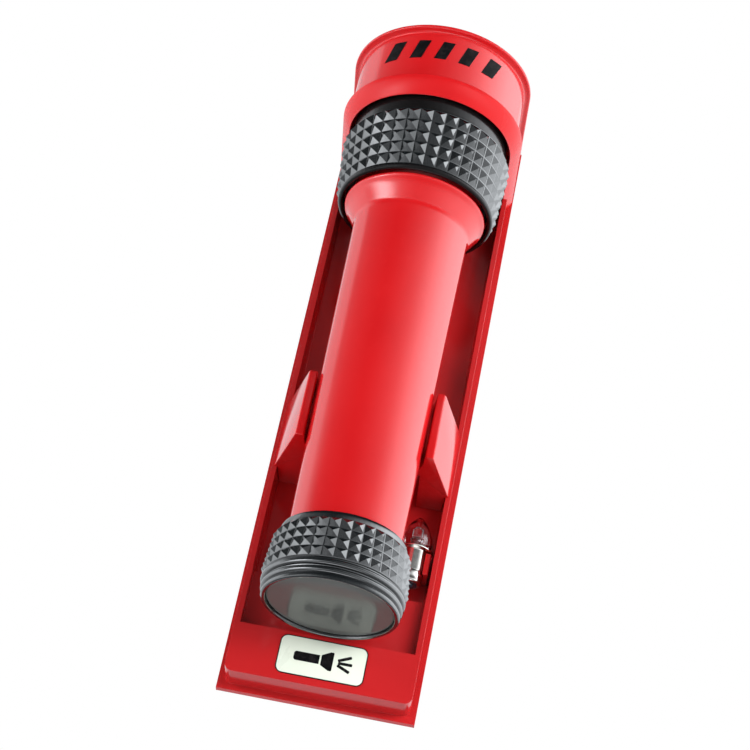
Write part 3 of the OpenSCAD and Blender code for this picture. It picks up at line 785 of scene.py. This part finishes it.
# and level with the torch
MID = [(-180, 0.9), (-140, 1.1), (-114, 2.0), (-95, 2.3), (-85, 1.2), (-75, 0.35), (-60, 0.12), (0, 0.10), (40, 0.2), (55, 0.9), (70, 2.4), (85, 3.0), (110, 3.3),
       (134, 2.3), (155, 1.3), (180, 0.9)]
wtc = wn.nodes.new("ShaderNodeTexCoord").outputs["Generated"]
sep = wn.nodes.new("ShaderNodeSeparateXYZ")
wn.links.new(wtc, sep.inputs[0])
azn = math_node(wn, "ARCTAN2", sep.outputs[0], math_node(wn, "MULTIPLY", sep.outputs[1], -1.0))
unit = math_node(wn, "ADD", math_node(wn, "MULTIPLY", azn, 0.5 / math.pi), 0.5)


def compass(table):
    """Colour ramp over the compass direction."""
    ramp = wn.nodes.new("ShaderNodeValToRGB")
    ramp.color_ramp.interpolation = "LINEAR"
    stops = ramp.color_ramp.elements
    while len(stops) > 1:
        stops.remove(stops[-1])
    for i, (azd, val) in enumerate(table):
        e = stops[0] if i == 0 else stops.new((azd + 180.0) / 360.0)
        e.position = (azd + 180.0) / 360.0
        e.color = (val / 5.0 * 0.95, val / 5.0 * 0.99, val / 5.0 * 1.03, 1.0)
    wn.links.new(unit, ramp.inputs["Fac"])
    return ramp.outputs["Color"]


high = span(wn, sep.outputs[2], 0.65, 0.78, 0.0, 1.0)
env_col = mix(wn, high, compass(STUDIO), (0.007, 0.007, 0.0075))
ground = span(wn, sep.outputs[2], -0.62, -0.28, 1.0, 0.0)
low_col = mix(wn, math_node(wn, "MULTIPLY", ground, 0.74), compass(LOW), (0.0, 0.0, 0.0))
deep = span(wn, sep.outputs[2], -0.95, -0.60, 1.0, 0.0)
low_col = mix(wn, math_node(wn, "MULTIPLY", deep, 0.6), low_col, (0.0, 0.0, 0.0))
env_col = mix(wn, span(wn, sep.outputs[2], 0.38, 0.50, 1.0, 0.0), env_col, compass(MID))
env_col = mix(wn, span(wn, sep.outputs[2], -0.20, -0.08, 1.0, 0.0), env_col, low_col)
bg_env = wn.nodes.new("ShaderNodeBackground")
wn.links.new(env_col, bg_env.inputs["Color"])
bg_env.inputs["Strength"].default_value = 5.0
lp = wn.nodes.new("ShaderNodeLightPath")
mx = wn.nodes.new("ShaderNodeMixShader")
wn.links.new(lp.outputs["Is Camera Ray"], mx.inputs["Fac"])
wn.links.new(bg_env.outputs["Background"], mx.inputs[1])
wn.links.new(bg_cam.outputs["Background"], mx.inputs[2])
wn.links.new(mx.outputs["Shader"], wout.inputs["Surface"])


def softbox(name, az, el, dist, w, h, power, target=(0.0, -0.03, 0.02), color=(0.97, 0.985, 1.03)):
    """A panel whose glow fades towards its edges. az 0 is in front (towards -Y), positive to the right (+X)."""
    a, e = math.radians(az), math.radians(el)
    d = Vector((math.sin(a) * math.cos(e), -math.cos(a) * math.cos(e), math.sin(e)))
    L = bpy.data.lights.new(name, "AREA")
    L.shape = "RECTANGLE"
    L.size = w
    L.size_y = h
    L.energy = power
    L.color = color
    L.use_nodes = True
    ln = L.node_tree
    em = [n for n in ln.nodes if n.type == "EMISSION"][0]
    par = ln.nodes.new("ShaderNodeNewGeometry").outputs["Parametric"]
    sp = ln.nodes.new("ShaderNodeSeparateXYZ")
    ln.links.new(par, sp.inputs[0])
    prod = None
    for k in (0, 1):
        c = math_node(ln, "SINE", math_node(ln, "MULTIPLY", sp.outputs[k], math.pi))
        c = math_node(ln, "MULTIPLY", c, c)
        prod = c if prod is None else math_node(ln, "MULTIPLY", prod, c)
    ln.links.new(prod, em.inputs["Strength"])
    o = bpy.data.objects.new(name, L)
    o.location = Vector(target) + d * dist
    o.rotation_mode = "QUATERNION"
    o.rotation_quaternion = (-d).to_track_quat("-Z", "Y")
    o.visible_camera = False
    sc.collection.objects.link(o)
    return o


softbox("low_left", -56.0, -12.0, 0.9, 1.0, 0.32, 8.2)
softbox("mid_left", -76.0, 6.0, 0.9, 1.0, 0.40, 23.0).visible_glossy = False
softbox("below", 4.0, -76.0, 0.74, 1.0, 0.62, 6.0, target=(0.0, -0.03, -0.10))
softbox("mid_right", 42.0, 0.0, 0.9, 1.2, 0.40, 33.0).visible_glossy = False

# camera fitted to the photograph's view
yaw, pitch, roll = 0.0624, 0.5342, 0.2140
cy, sy, cp, sp = math.cos(yaw), math.sin(yaw), math.cos(pitch), math.sin(pitch)
f = Vector((-sy * cp, cy * cp, sp))
r = Vector((cy, sy, 0.0))
u = r.cross(f)
cr, sr = math.cos(roll), math.sin(roll)
r2 = cr * r + sr * u
u2 = -sr * r + cr * u
cam = bpy.data.cameras.new("camera")
cam.sensor_width = 36.0
cam.lens = 36.0 * 2180.54 / 750.0
cam.clip_start, cam.clip_end = 0.05, 50.0
co = bpy.data.objects.new("camera", cam)
pos = Vector(P(40.357, -712.59, -305.605))
m = Matrix(((r2.x, u2.x, -f.x, pos.x), (r2.y, u2.y, -f.y, pos.y), (r2.z, u2.z, -f.z, pos.z), (0, 0, 0, 1)))
co.matrix_world = m
sc.collection.objects.link(co)
sc.camera = co

bpy.context.view_layer.update()
